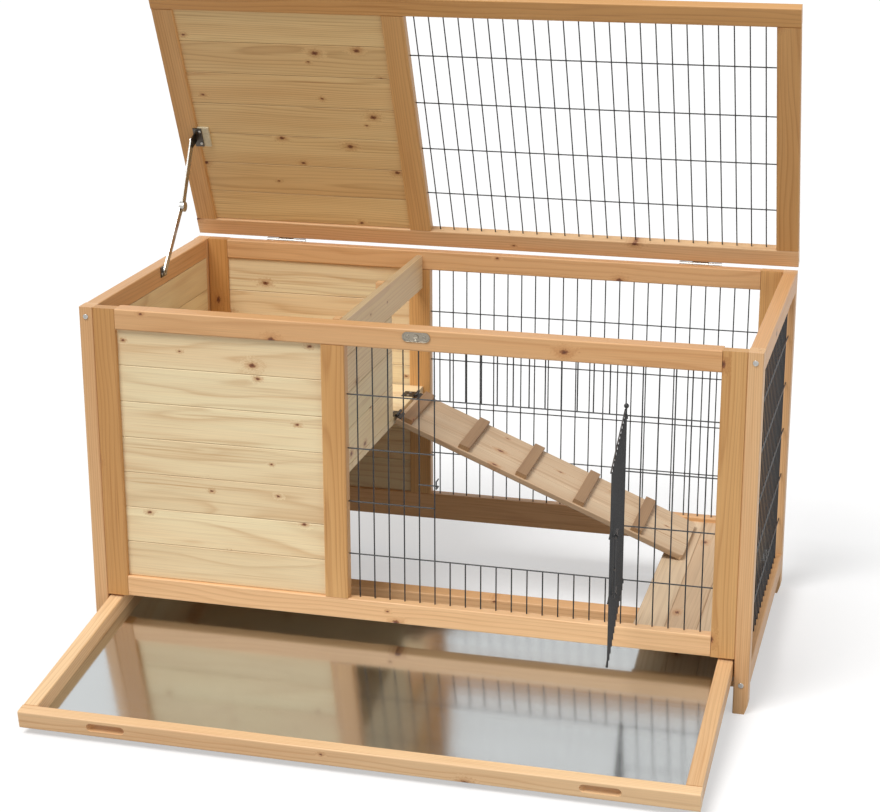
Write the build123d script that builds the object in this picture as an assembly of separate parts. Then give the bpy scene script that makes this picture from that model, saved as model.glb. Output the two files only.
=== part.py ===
from build123d import *
from math import asin, atan, atan2, ceil, cos, degrees, hypot, radians, sin, sqrt
import os

os.makedirs("parts", exist_ok=True)

# Small animal cage, in millimetres. X runs to the right, Y to the back, Z up from the floor.
# The origin is on the floor, in the middle between the four legs.

# Overall size and timber stock
WIDTH = 1120.0
DEPTH = 544.0
HEIGHT = 600.0
LEG_W = 24.0
LEG_D = 30.0
FOOT_CUT_W = 5.0
FOOT_CUT_H = 15.0
PANEL_T = 20.0
TOP_RAIL_D = 30.0
RAIL_H = 35.0
STILE_W = 39.0
MID_STILE_W = 40.0
MID_STILE_X = -124.0
EDGE_R = 2.5

# Heights of the rails
PANEL_Z = 94.0
FRONT_BOTTOM_RAIL_H = 36.0
REAR_BOTTOM_RAIL_H = 50.0
SIDE_RAIL_Z = 42.0

# Boards
BOARD_T = 9.0
BOARD_PITCH = 62.4
BOARD_CHAMFER = 1.2
BOARD_SET_BACK = 7.0
SIDE_BOARD_GAP = 0.5

# Welded wire
WIRE_D = 2.2
WIRE_PITCH = 25.7
WELD_SINK = 0.4
MESH_SET_BACK = 12.0
FIRST_WIRE_INSET = 16.9
ROW_COUNT = 4
SIDE_ROW_COUNT = 5
FIRST_ROW_UP = 77.0
LAST_ROW_DOWN = 83.0
REAR_ROW_RISE = 3.2
SIDE_ROW_FIRST = 0.8
SIDE_ROW_SHARES = 5.7
CUT_OVER = 1.0

# Front door leaf, shown open
DOOR_LEFT_X = 41.4
DOOR_RIGHT_X = 349.8
DOOR_HINGE_PAST_WIRE = 2.2
DOOR_DEPTH = 4.0
DOOR_FREE_GAP = 5.1
DOOR_OVERLAP = 12.0
DOOR_OPEN = 96.0
DOOR_COLUMNS = 12
DOOR_ROWS = 4
DOOR_ROD_D = 2.6
DOOR_ROD_END = 3.0
GUIDE_L = 4.0
DOOR_KNOB_D = 8.0
EYE_H = 6.0
EYE_WALL = 1.5
EYE_GAP = 0.06
BOLT_D = 3.0
BOLT_H = 90.0
BOLT_ARM = 42.0
BOLT_OUT = 6.0
BOLT_INSET = 10.0
BOLT_TONGUE = 11.0
BOLT_TRAVEL = 12.0
CATCH_GAP_Z = 12.4
CATCH_REACH = 7.5
CATCH_LIFT = 14.0

# Divider, upper floor and platform
DIVIDER_T = 12.0
DIVIDER_TOP_DROP = 8.0
DOORWAY_W = 202.0
FLOOR_TOP_Z = 342.0
FLOOR_T = 12.0
BATTEN_W = 18.0
BATTEN_H = 18.0
DIVIDER_BATTEN_T = 12.0
FIRST_BATTEN_Y = 40.0
BATTEN_R = 1.5
PLATFORM_Z = 121.5
PLATFORM_T = 7.5
PLATFORM_BEFORE_RAMP = 35.0
PLATFORM_BOARD = 51.5
LEDGER_H = 13.0
LEDGER_W = 14.0

# Ramp
RAMP_REAR_GAP = 34.0
RAMP_W = 165.0
RAMP_LENGTH = 558.0
RAMP_T = 10.0
RAMP_BOARDS = 3
RAMP_START = 4.0
RAMP_REST_GAP = 0.2
RAMP_CORNER_R = 7.0
CLEAT_COUNT = 5
CLEAT_FIRST = 8.0
CLEAT_PITCH = 112.0
CLEAT_W = 20.0
CLEAT_T = 8.0
CLEAT_END = 4.0
CLEAT_R = 1.2
RAMP_BARREL_R = 2.6
RAMP_PIN_R = 1.3
RAMP_LEAF_T = 1.2
RAMP_LEAF_W = 22.0
RAMP_LEAF_L = 30.0
RAMP_HINGE_INSET = 22.0
RAMP_HINGE_OUT = 3.0
LEAF_LAP = 1.0

# Pull-out tray, shown pulled out and tipped over the rollers at the front of its runners
TRAY_SIDE_GAP = 2.0
TRAY_LENGTH = 500.0
TRAY_H = 30.0
TRAY_RAIL_W = 25.0
TRAY_FRONT_T = 22.0
TRAY_TOP_GAP = 2.5
TRAY_OUT = 357.0
TRAY_TIP = 7.7
SHEET_T = 0.8
SHEET_UP = 5.0
SLOT_LENGTH = 63.0
SLOT_H = 14.0
SLOT_UP = 16.5
SLOT_X = 388.0
ROLLER_R = 6.0
ROLLER_W = 14.0
ROLLER_IN = 17.0
ROLLER_SIDE_GAP = 3.0
ROLLER_TRAY_GAP = 0.05
AXLE_R = 2.5
AXLE_DEPTH = 12.0
AXLE_INSET = 1.0
AXLE_GAP = 0.06
RUNNER_W = 20.0
RUNNER_H = 28.0
RUNNER_GAP = 1.0

# Lid, shown open on its folding stay
LID_LENGTH = 513.0
LID_T = 18.0
LID_STILE_W = 39.0
LID_RAIL_W = 35.0
LID_OPEN = 66.6
LID_REST_GAP = 0.3
LID_BOARD_COUNT = 7
LID_WIRE_INSET = 15.9
LID_ROW_COUNT = 4
LID_ROW_FIRST = 78.0
LID_ROW_PITCH = 94.7
HINGE_X = 388.0
HINGE_L = 75.0
HINGE_LEAF_H = 26.0
HINGE_LEAF_T = 1.5
HINGE_BACK = 4.3
HINGE_UP = -0.5
HINGE_BARREL_R = 3.5
HINGE_PIN_R = 1.75
HINGE_RUN_GAP = 0.05
HINGE_END_GAP = 0.5
KNUCKLE_SHARE = 0.3

# Folding stay at the left end of the lid
STAY_FOOT_Y = 32.0
STAY_FOOT_DROP = 11.0
STAY_HEAD_REACH = 221.5
STAY_HEAD_DROP = 13.5
STAY_LOWER_L = 133.2
STAY_UPPER_L = 122.3
STAY_BAR_W = 15.0
STAY_FOOT_W = 12.0
STAY_BAR_T = 2.5
STAY_GAP = 0.4
STAY_PIN_R = 2.5
STAY_PIN_GAP = 0.06
STAY_PLATE_T = 2.0
STAY_PLATE_L = 24.0
STAY_PLATE_H = 18.0
HEAD_PLATE_L = 38.0
HEAD_PLATE_LAP = 1.0
HEAD_PLATE_REACH = 15.0
KNEE_R = 9.5
KNEE_T = 4.0
KNEE_DOME = 1.5

# Small fittings
SCREW_R = 4.5
SCREW_T = 1.6
SCREW_TOP_DROP = 16.0
SCREW_BOTTOM_Z = 50.0
PLATE_X = 15.4
PLATE_L = 46.0
PLATE_H = 16.0
PLATE_T = 2.0
PLATE_DROP = 12.0
PLATE_SCREW_X = 13.8
PLATE_SCREW_R = 3.4
PLATE_SCREW_UP = 1.0
PLATE_STUD_R = 2.0
PLATE_STUD_UP = 2.0

# Values that follow from the sizes above
X_OUT = WIDTH / 2
X_LEG = X_OUT - LEG_W
X_BAY = X_LEG - STILE_W
X_MID0 = MID_STILE_X - MID_STILE_W / 2
X_MID1 = MID_STILE_X + MID_STILE_W / 2
Y_OUT = DEPTH / 2
Y_LEG = Y_OUT - LEG_D
Y_IN = Y_OUT - PANEL_T
BAY_Z0 = PANEL_Z + FRONT_BOTTOM_RAIL_H
BAY_Z1 = HEIGHT - RAIL_H
SIDE_Z0 = SIDE_RAIL_Z + RAIL_H
MESH_Y = Y_OUT - MESH_SET_BACK
SIDE_MESH_X = X_OUT - MESH_SET_BACK + WIRE_D / 2
TRAY_Z1 = PANEL_Z - TRAY_TOP_GAP
TRAY_Z0 = TRAY_Z1 - TRAY_H
ROLLER_Y = -Y_OUT + ROLLER_IN
ROLLER_Z = TRAY_Z0 - ROLLER_TRAY_GAP - ROLLER_R
ROW_STEP = (BAY_Z1 - BAY_Z0 - FIRST_ROW_UP - LAST_ROW_DOWN) / (ROW_COUNT - 1)
ROWS = [BAY_Z0 + FIRST_ROW_UP + i * ROW_STEP for i in range(ROW_COUNT)]
COLUMN_COUNT = int((X_BAY - X_MID1 - FIRST_WIRE_INSET - WIRE_D) / WIRE_PITCH) + 1
COLUMNS = [X_MID1 + FIRST_WIRE_INSET + i * WIRE_PITCH for i in range(COLUMN_COUNT)]
RAMP_Y1 = Y_IN - RAMP_REAR_GAP
RAMP_Y0 = RAMP_Y1 - RAMP_W
DOORWAY_Y = Y_IN - DOORWAY_W


def block(x0, x1, y0, y1, z0, z1):
    return Pos((x0 + x1) / 2, (y0 + y1) / 2, (z0 + z1) / 2) * Box(x1 - x0, y1 - y0, z1 - z0)


def timber(x0, x1, y0, y1, z0, z1, along, r=EDGE_R):
    piece = block(x0, x1, y0, y1, z0, z1)
    return fillet(piece.edges().filter_by(along), r)


def rod(start, end, radius):
    start, end = Vector(*start), Vector(*end)
    plane = Plane(origin=start, z_dir=end - start)
    return Solid.make_cylinder(radius, (end - start).length, plane)


def joined(shapes):
    result = shapes[0].fuse(*shapes[1:])
    solids = result.solids() if not isinstance(result, list) else [s for r in result for s in r.solids()]
    return list(solids)


def save(name, *shapes):
    solids = [s for shape in shapes for s in shape.solids()]
    export_step(Compound(solids) if len(solids) > 1 else solids[0], f"parts/{name}.step")


def boards(x0, x1, y0, y1, z0, z1, across, along, count):
    low, high = {Axis.X: (x0, x1), Axis.Y: (y0, y1), Axis.Z: (z0, z1)}[across]
    step = (high - low) / count
    result = []
    for i in range(count):
        a, b = low + i * step, low + (i + 1) * step
        limits = {Axis.X: (a, b, y0, y1, z0, z1), Axis.Y: (x0, x1, a, b, z0, z1),
                  Axis.Z: (x0, x1, y0, y1, a, b)}[across]
        piece = block(*limits)
        result.append(chamfer(piece.edges().filter_by(along), BOARD_CHAMFER))
    return result


def count_for(span):
    return max(1, round(span / BOARD_PITCH))


def grille(uprights, rows, point, radius=WIRE_D / 2):
    # uprights: (across, low, high); rows: (height, low, high); point places both in space
    sink = WIRE_D - WELD_SINK
    wires = [rod(point(u, z0, 0), point(u, z1, 0), radius) for u, z0, z1 in uprights]
    wires += [rod(point(u0, z, sink), point(u1, z, sink), radius) for z, u0, u1 in rows]
    return joined(wires)


# Legs, with the outer bottom edge cut away at the foot
for x_side, x_name in ((-1, "left"), (1, "right")):
    for y_side, y_name in ((-1, "front"), (1, "rear")):
        xs = sorted((x_side * X_LEG, x_side * X_OUT))
        ys = sorted((y_side * Y_LEG, y_side * Y_OUT))
        leg = timber(*xs, *ys, 0, HEIGHT, Axis.Z)
        cut = Polyline((x_side * (X_OUT - FOOT_CUT_W), 0), (x_side * (X_OUT + 1), 0),
                       (x_side * (X_OUT + 1), FOOT_CUT_H), (x_side * X_OUT, FOOT_CUT_H), close=True)
        wedge = Pos(0, y_side * (Y_LEG + LEG_D / 2), 0) * extrude(
            Plane.XZ * make_face(cut), LEG_D, both=True)
        leg = leg - wedge
        if y_side < 0:
            bore_x0, bore_x1 = x_side * (X_LEG - CUT_OVER), x_side * (X_LEG + AXLE_DEPTH + CUT_OVER)
            leg = leg - rod((bore_x0, ROLLER_Y, ROLLER_Z), (bore_x1, ROLLER_Y, ROLLER_Z), AXLE_R + AXLE_GAP)
        save(f"leg_{y_name}_{x_name}", leg)

# Rails of the two side frames, between the legs
for x_side, x_name in ((-1, "left"), (1, "right")):
    xs = sorted((x_side * X_LEG, x_side * X_OUT))
    save(f"side_rail_top_{x_name}", timber(*xs, -Y_LEG, Y_LEG, BAY_Z1, HEIGHT, Axis.Y))
    save(f"side_rail_bottom_{x_name}", timber(*xs, -Y_LEG, Y_LEG, SIDE_RAIL_Z, SIDE_Z0, Axis.Y))

# Left side is boarded, right side is wire
SIDE_BOARD_X = X_LEG + SIDE_BOARD_GAP
save("side_boards_left", *boards(-SIDE_BOARD_X - BOARD_T, -SIDE_BOARD_X, -Y_LEG, Y_LEG, SIDE_Z0, BAY_Z1,
                                 Axis.Z, Axis.Y, count_for(BAY_Z1 - SIDE_Z0)))
side_span = 2 * Y_LEG
side_count = int(side_span / WIRE_PITCH)
side_first = -(side_count - 1) * WIRE_PITCH / 2
side_step = (BAY_Z1 - SIDE_Z0) / SIDE_ROW_SHARES
side_uprights = [(side_first + i * WIRE_PITCH, SIDE_Z0, BAY_Z1) for i in range(side_count)]
side_rows = [(SIDE_Z0 + side_step * (i + SIDE_ROW_FIRST), -Y_LEG, Y_LEG) for i in range(SIDE_ROW_COUNT)]
save("side_mesh_right", *grille(side_uprights, side_rows, lambda u, z, s: (SIDE_MESH_X + s, u, z)))


def panel(name, side, bottom_h, top_depth):
    # side is -1 for the front panel and +1 for the rear panel
    ys = sorted((side * Y_IN, side * Y_OUT))
    z0 = BAY_Z0 - bottom_h
    rail_ys = sorted((side * (Y_OUT - top_depth), side * Y_OUT))
    save(f"{name}_rail_top", timber(-X_BAY, X_BAY, *rail_ys, BAY_Z1, HEIGHT, Axis.X))
    save(f"{name}_rail_bottom", timber(-X_BAY, X_BAY, *ys, z0, BAY_Z0, Axis.X))
    save(f"{name}_stile_left", timber(-X_LEG, -X_BAY, *ys, z0, HEIGHT, Axis.Z))
    save(f"{name}_stile_right", timber(X_BAY, X_LEG, *ys, z0, HEIGHT, Axis.Z))
    save(f"{name}_stile_mid", timber(X_MID0, X_MID1, *ys, BAY_Z0, BAY_Z1, Axis.Z))
    board_y = sorted((side * (Y_OUT - BOARD_SET_BACK), side * (Y_OUT - BOARD_SET_BACK - BOARD_T)))
    save(f"{name}_boards", *boards(-X_BAY, X_MID0, *board_y, BAY_Z0, BAY_Z1,
                                   Axis.Z, Axis.X, count_for(BAY_Z1 - BAY_Z0)))


# The front top rail is as deep as the legs, so that the shut lid reaches it
panel("front", -1, FRONT_BOTTOM_RAIL_H, TOP_RAIL_D)
panel("rear", 1, REAR_BOTTOM_RAIL_H, PANEL_T)

# Rear mesh is whole; the front mesh has the door opening cut out of it
save("rear_mesh", *grille([(x, BAY_Z0, BAY_Z1) for x in COLUMNS],
                          [(z + REAR_ROW_RISE, X_MID1, X_BAY) for z in ROWS],
                          lambda u, z, s: (u, MESH_Y + s - WIRE_D / 2, z)))


def column_near(x):
    return min(range(COLUMN_COUNT), key=lambda i: abs(COLUMNS[i] - x))


first_cut, last_cut = column_near(DOOR_LEFT_X), column_near(DOOR_RIGHT_X)
door_x0, door_x1 = COLUMNS[first_cut], COLUMNS[last_cut]
front_uprights, front_rows = [], []
for i, x in enumerate(COLUMNS):
    if first_cut < i < last_cut:
        front_uprights += [(x, BAY_Z0, ROWS[0]), (x, ROWS[-1], BAY_Z1)]
    else:
        front_uprights.append((x, BAY_Z0, BAY_Z1))
for i, z in enumerate(ROWS):
    if 0 < i < ROW_COUNT - 1:
        front_rows += [(z, X_MID1, door_x0), (z, door_x1, X_BAY)]
    else:
        front_rows.append((z, X_MID1, X_BAY))
save("front_mesh", *grille(front_uprights, front_rows,
                           lambda u, z, s: (u, -MESH_Y - s + WIRE_D / 2, z)))

# Front door leaf, built closed and then turned open about its hinge rod
DOOR_AXIS_X = door_x1 + DOOR_HINGE_PAST_WIRE
DOOR_AXIS_Y = -Y_OUT + DOOR_DEPTH
door_z0, door_z1 = ROWS[0] - DOOR_OVERLAP, ROWS[-1] + DOOR_OVERLAP
door_axis = Axis((DOOR_AXIS_X, DOOR_AXIS_Y, 0), (0, 0, 1))
catch_x0, catch_x1 = COLUMNS[first_cut - 1], door_x0 + CATCH_REACH
door_free = catch_x1 + DOOR_FREE_GAP
door_w = DOOR_AXIS_X - door_free
wire_r, hinge_r = WIRE_D / 2, DOOR_ROD_D / 2
leaf_wires = [rod((DOOR_AXIS_X, DOOR_AXIS_Y, door_z0 - DOOR_ROD_END),
                  (DOOR_AXIS_X, DOOR_AXIS_Y, door_z1 + DOOR_ROD_END), hinge_r)]
for i in range(1, DOOR_COLUMNS + 1):
    x = DOOR_AXIS_X - door_w * i / DOOR_COLUMNS
    leaf_wires.append(rod((x, DOOR_AXIS_Y, door_z0 - wire_r), (x, DOOR_AXIS_Y, door_z1 + wire_r), wire_r))
row_y = DOOR_AXIS_Y + WIRE_D - WELD_SINK
door_rows = [door_z0 + (door_z1 - door_z0) * i / (DOOR_ROWS - 1) for i in range(DOOR_ROWS)]
for z in door_rows:
    leaf_wires.append(rod((door_free - wire_r, row_y, z), (DOOR_AXIS_X + 0.6, row_y, z), wire_r))
leaf_wires.append(Pos(DOOR_AXIS_X, DOOR_AXIS_Y, door_z1 + 2 + DOOR_KNOB_D / 2) * Sphere(DOOR_KNOB_D / 2))
# Two guide loops on the leaf carry the arms of the bolt
bolt_y = DOOR_AXIS_Y - BOLT_OUT
bolt_x = door_free + BOLT_INSET
bolt_mid = (door_rows[1] + door_rows[2]) / 2
guide_x = DOOR_AXIS_X - door_w * (DOOR_COLUMNS - 1) / DOOR_COLUMNS
guide_r = BOLT_D / 2 + EYE_GAP
for z in (bolt_mid - BOLT_H / 2, bolt_mid + BOLT_H / 2):
    ends = [(guide_x + side * GUIDE_L / 2, bolt_y, z) for side in (-1, 1)]
    bore_ends = [(guide_x + side * (GUIDE_L / 2 + CUT_OVER), bolt_y, z) for side in (-1, 1)]
    ring = rod(*ends, guide_r + EYE_WALL) - rod(*bore_ends, guide_r)
    stem = block(guide_x - wire_r, guide_x + wire_r, bolt_y + guide_r + WELD_SINK, DOOR_AXIS_Y - WELD_SINK,
                 z - wire_r, z + wire_r)
    leaf_wires += [ring, stem]
leaf = joined([s for w in leaf_wires for s in w.solids()])
save("door_leaf", *[s.rotate(door_axis, DOOR_OPEN) for s in leaf])
# The bolt is one bent wire with a tongue; it is shown drawn back
arm_zs = (bolt_mid - BOLT_H / 2, bolt_mid + BOLT_H / 2)
bolt_parts = [rod((bolt_x, bolt_y, arm_zs[0]), (bolt_x, bolt_y, arm_zs[1]), BOLT_D / 2)]
for z in arm_zs:
    bolt_parts.append(rod((bolt_x, bolt_y, z), (bolt_x + BOLT_ARM, bolt_y, z), BOLT_D / 2))
    bolt_parts.append(Pos(bolt_x, bolt_y, z) * Sphere(BOLT_D / 2))
bolt_parts.append(rod((bolt_x, bolt_y, bolt_mid), (bolt_x - BOLT_TONGUE, bolt_y, bolt_mid), BOLT_D / 2))
bolt = joined([s for w in bolt_parts for s in w.solids()])
save("door_latch", *[s.rotate(door_axis, DOOR_OPEN) for s in bolt])

# Eyes on the front mesh that hold the hinge rod of the leaf
eyes = []
mesh_front = -MESH_Y + WIRE_D / 2 - (WIRE_D - WELD_SINK) - wire_r
for z in (ROWS[0], ROWS[-1]):
    eye_r = hinge_r + EYE_GAP
    low, high = z - EYE_H / 2, z + EYE_H / 2
    ring = rod((DOOR_AXIS_X, DOOR_AXIS_Y, low), (DOOR_AXIS_X, DOOR_AXIS_Y, high), eye_r + EYE_WALL)
    tail = block(DOOR_AXIS_X - wire_r, DOOR_AXIS_X + wire_r, DOOR_AXIS_Y + eye_r + WELD_SINK, mesh_front,
                 low, high)
    bore = rod((DOOR_AXIS_X, DOOR_AXIS_Y, low - 1), (DOOR_AXIS_X, DOOR_AXIS_Y, high + 1), eye_r)
    for solid in joined([ring, *tail.solids()]):
        eyes.append(solid - bore)
save("door_hinge_eyes", *eyes)

# Catch for the bolt: two arms welded to the mesh and a bar in front of the tongue
catch_y = mesh_front - wire_r
catch_bar_y = catch_y - CATCH_LIFT
catch_wires = []
for side in (-1, 1):
    z = bolt_mid + side * CATCH_GAP_Z / 2
    catch_wires.append(rod((catch_x0, catch_y, z), (catch_x1, catch_y, z), wire_r))
    catch_wires.append(rod((catch_x1, catch_y, z), (catch_x1, catch_bar_y, z), wire_r))
    catch_wires.append(Pos(catch_x1, catch_y, z) * Sphere(wire_r))
    catch_wires.append(Pos(catch_x1, catch_bar_y, z) * Sphere(wire_r))
catch_wires.append(rod((catch_x1, catch_bar_y, bolt_mid - CATCH_GAP_Z / 2),
                       (catch_x1, catch_bar_y, bolt_mid + CATCH_GAP_Z / 2), wire_r))
# two posts reach back from the arms to the uprights of the mesh
for x in (catch_x0, door_x0):
    for side in (-1, 1):
        z = bolt_mid + side * CATCH_GAP_Z / 2
        catch_wires.append(rod((x, catch_y, z), (x, -MESH_Y - 0.02, z), wire_r * 0.8))
save("door_catch", *joined([s for w in catch_wires for s in w.solids()]))

# Divider with its doorway, on the upper floor
divider_x1 = MID_STILE_X + DIVIDER_T / 2
divider_x0 = divider_x1 - DIVIDER_T
divider_top = HEIGHT - DIVIDER_TOP_DROP
divider_boards = []
divider_count = count_for(divider_top - FLOOR_TOP_Z)
for i, piece in enumerate(boards(divider_x0, divider_x1, -Y_IN, Y_IN, FLOOR_TOP_Z, divider_top,
                                 Axis.Z, Axis.Y, divider_count)):
    if i < divider_count - 1:
        piece = piece - block(divider_x0 - CUT_OVER, divider_x1 + CUT_OVER, DOORWAY_Y, Y_IN + CUT_OVER,
                              FLOOR_TOP_Z - CUT_OVER, divider_top)
    # the boards are notched round the deep front rail
    piece = piece - block(divider_x0 - CUT_OVER, divider_x1 + CUT_OVER, -Y_OUT, -Y_OUT + TOP_RAIL_D,
                          BAY_Z1, HEIGHT)
    divider_boards.append(piece)
save("divider_boards", *divider_boards)
save("divider_battens", *[timber(divider_x0 - DIVIDER_BATTEN_T, divider_x0, y, y + BATTEN_W,
                                 FLOOR_TOP_Z, divider_top, Axis.Z, BATTEN_R)
                          for y in (-Y_IN + FIRST_BATTEN_Y, DOORWAY_Y - BATTEN_W)])

# Upper floor, carried on battens fixed to the front, rear and left
floor_z0 = FLOOR_TOP_Z - FLOOR_T
save("upper_floor_boards", *boards(-X_LEG, divider_x1, -Y_IN, Y_IN, floor_z0, FLOOR_TOP_Z,
                                   Axis.Y, Axis.X, count_for(2 * Y_IN)))
batten_z = (floor_z0 - BATTEN_H, floor_z0)
floor_battens = [timber(-X_LEG, divider_x1, -Y_IN, -Y_IN + BATTEN_W, *batten_z, Axis.X, BATTEN_R),
                 timber(-X_LEG, divider_x1, Y_IN - BATTEN_W, Y_IN, *batten_z, Axis.X, BATTEN_R),
                 timber(-X_LEG, -X_LEG + BATTEN_W, -Y_IN + BATTEN_W, Y_IN - BATTEN_W, *batten_z,
                        Axis.Y, BATTEN_R)]
save("upper_floor_battens", *floor_battens)

# Ramp: drawn level from its hinge axis, then turned down until its end rests on the platform
RAMP_AXIS_X = divider_x1 + RAMP_HINGE_OUT
RAMP_AXIS_Z = FLOOR_TOP_Z + RAMP_BARREL_R
ramp_under = RAMP_BARREL_R + RAMP_T
ramp_drop = RAMP_AXIS_Z - PLATFORM_Z - RAMP_REST_GAP
ramp_reach = RAMP_START + RAMP_LENGTH
RAMP_SLOPE = degrees(asin(ramp_drop / hypot(ramp_reach, ramp_under)) - atan(ramp_under / ramp_reach))
ramp_axis = Axis((RAMP_AXIS_X, 0, RAMP_AXIS_Z), (0, 1, 0))

# Landing platform for the ramp, above the tray at the right end
ramp_end_x = (RAMP_AXIS_X + ramp_reach * cos(radians(RAMP_SLOPE))
              - ramp_under * sin(radians(RAMP_SLOPE)))
platform_x0 = ramp_end_x - PLATFORM_BEFORE_RAMP
platform_boards, x = [], platform_x0
while x < X_LEG - 1:
    end = min(x + PLATFORM_BOARD, X_LEG)
    platform_boards += boards(x, end, -Y_IN, Y_IN, PLATFORM_Z - PLATFORM_T, PLATFORM_Z, Axis.X, Axis.Y, 1)
    x = end
save("platform_boards", *platform_boards)
ledger_z = PLATFORM_Z - PLATFORM_T
save("platform_ledgers", *[timber(platform_x0, X_LEG, *ys, ledger_z - LEDGER_H, ledger_z, Axis.X, BATTEN_R)
                           for ys in ((-Y_IN, -Y_IN + LEDGER_W), (Y_IN - LEDGER_W, Y_IN))])


def on_ramp(shape):
    return shape.rotate(ramp_axis, RAMP_SLOPE)


ramp_x0 = RAMP_AXIS_X + RAMP_START
ramp_x1 = ramp_x0 + RAMP_LENGTH
ramp_z1 = RAMP_AXIS_Z - RAMP_BARREL_R
ramp_boards = []
for i, piece in enumerate(boards(ramp_x0, ramp_x1, RAMP_Y0, RAMP_Y1, ramp_z1 - RAMP_T, ramp_z1,
                                 Axis.Y, Axis.X, RAMP_BOARDS)):
    if i in (0, RAMP_BOARDS - 1):
        corner = RAMP_Y0 if i == 0 else RAMP_Y1
        far = [e for e in piece.edges().filter_by(Axis.Z)
               if abs(e.center().X - ramp_x1) < 0.1 and abs(e.center().Y - corner) < BOARD_CHAMFER + 0.1]
        piece = fillet(far, RAMP_CORNER_R) if far else piece
    ramp_boards.append(on_ramp(piece))
save("ramp_boards", *ramp_boards)
cleats = []
for i in range(CLEAT_COUNT):
    x = ramp_x0 + CLEAT_FIRST + i * CLEAT_PITCH
    cleats.append(on_ramp(timber(x, x + CLEAT_W, RAMP_Y0 + CLEAT_END, RAMP_Y1 - CLEAT_END,
                                 ramp_z1, ramp_z1 + CLEAT_T, Axis.Y, CLEAT_R)))
save("ramp_cleats", *cleats)


def hinge_halves(place, length, outer, pin, leaf_fixed, leaf_moving):
    # place(t, dy, dz) gives a point at t along the pin; the fixed half has the two end knuckles
    side = length * KNUCKLE_SHARE
    fixed, moving = [], []
    for t0, t1 in ((-length / 2, -length / 2 + side), (length / 2 - side, length / 2)):
        fixed.append(rod(place(t0), place(t1), outer))
    moving.append(rod(place(-length / 2 + side + HINGE_END_GAP),
                      place(length / 2 - side - HINGE_END_GAP), outer))
    hole = rod(place(-length / 2 - CUT_OVER), place(length / 2 + CUT_OVER), pin + HINGE_RUN_GAP)
    halves = []
    for knuckles, leaf_plates in ((fixed, leaf_fixed), (moving, leaf_moving)):
        solids = joined(knuckles + [s for p in leaf_plates for s in p.solids()])
        halves.append([s - hole for s in solids])
    shaft = rod(place(-length / 2), place(length / 2), pin)
    return halves[0], halves[1], shaft


# Ramp hinges: one leaf on the upper floor, the other on top of the ramp
ramp_fixed, ramp_moving, ramp_pins = [], [], []
for y in (RAMP_Y0 + RAMP_HINGE_INSET, RAMP_Y1 - RAMP_HINGE_INSET):
    side = RAMP_LEAF_L * KNUCKLE_SHARE
    y0, y1 = y - RAMP_LEAF_L / 2, y + RAMP_LEAF_L / 2
    floor_edge, leaf_top = RAMP_AXIS_X - RAMP_HINGE_OUT, FLOOR_TOP_Z + RAMP_LEAF_T
    plates = [block(floor_edge - RAMP_LEAF_W, floor_edge, y0, y1, FLOOR_TOP_Z, leaf_top)]
    plates += [block(floor_edge - LEAF_LAP, RAMP_AXIS_X, a, b, FLOOR_TOP_Z, leaf_top)
               for a, b in ((y0, y0 + side), (y1 - side, y1))]
    turned = [block(RAMP_AXIS_X, ramp_x0 + LEAF_LAP, y0 + side + HINGE_END_GAP, y1 - side - HINGE_END_GAP,
                    ramp_z1, ramp_z1 + RAMP_LEAF_T),
              block(ramp_x0, ramp_x0 + CLEAT_FIRST - HINGE_END_GAP, y0, y1, ramp_z1, ramp_z1 + RAMP_LEAF_T)]
    a, b, pin = hinge_halves(lambda t, y=y: (RAMP_AXIS_X, y + t, RAMP_AXIS_Z), RAMP_LEAF_L, RAMP_BARREL_R,
                             RAMP_PIN_R, plates, turned)
    ramp_fixed += a
    ramp_moving += [on_ramp(s) for s in b]
    ramp_pins.append(pin)
save("ramp_hinge_floor_leaf", *ramp_fixed, *ramp_pins)
save("ramp_hinge_ramp_leaf", *ramp_moving)

# Lid: built closed on top of the frame, then turned open about its hinge axis
LID_AXIS_Y = Y_OUT + HINGE_BACK
LID_AXIS_Z = HEIGHT + HINGE_UP
lid_axis = Axis((0, LID_AXIS_Y, LID_AXIS_Z), (1, 0, 0))


def on_lid(*shapes):
    return [s.rotate(lid_axis, -LID_OPEN) for shape in shapes for s in shape.solids()]


lid_z0 = HEIGHT + LID_REST_GAP
lid_z1 = lid_z0 + LID_T
lid_y0, lid_y1 = Y_OUT - LID_LENGTH, Y_OUT
lid_x = X_OUT - LID_STILE_W
lid_bay_y0, lid_bay_y1 = lid_y0 + LID_RAIL_W, lid_y1 - LID_RAIL_W
# The two rails run the full width, and the stiles stand between them
for name, ys in (("front", (lid_y0, lid_bay_y0)), ("rear", (lid_bay_y1, lid_y1))):
    save(f"lid_rail_{name}", *on_lid(timber(-X_OUT, X_OUT, *ys, lid_z0, lid_z1, Axis.X)))
for name, xs in (("left", (-X_OUT, -lid_x)), ("mid", (X_MID0, X_MID1)), ("right", (lid_x, X_OUT))):
    save(f"lid_stile_{name}", *on_lid(timber(*xs, lid_bay_y0, lid_bay_y1, lid_z0, lid_z1, Axis.Y)))
board_z = lid_z0 + (LID_T - BOARD_T) / 2
save("lid_boards", *on_lid(*boards(-lid_x, X_MID0, lid_bay_y0, lid_bay_y1, board_z, board_z + BOARD_T,
                                   Axis.Y, Axis.X, LID_BOARD_COUNT)))
lid_mesh_z = lid_z0 + LID_T / 2
lid_wire_count = int((lid_x - X_MID1 - LID_WIRE_INSET - WIRE_D) / WIRE_PITCH) + 1
lid_uprights = [(X_MID1 + LID_WIRE_INSET + WIRE_PITCH * i, lid_bay_y0, lid_bay_y1)
                for i in range(lid_wire_count)]
lid_rows = [(lid_bay_y1 - LID_ROW_FIRST - LID_ROW_PITCH * i, X_MID1, lid_x) for i in range(LID_ROW_COUNT)]
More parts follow.
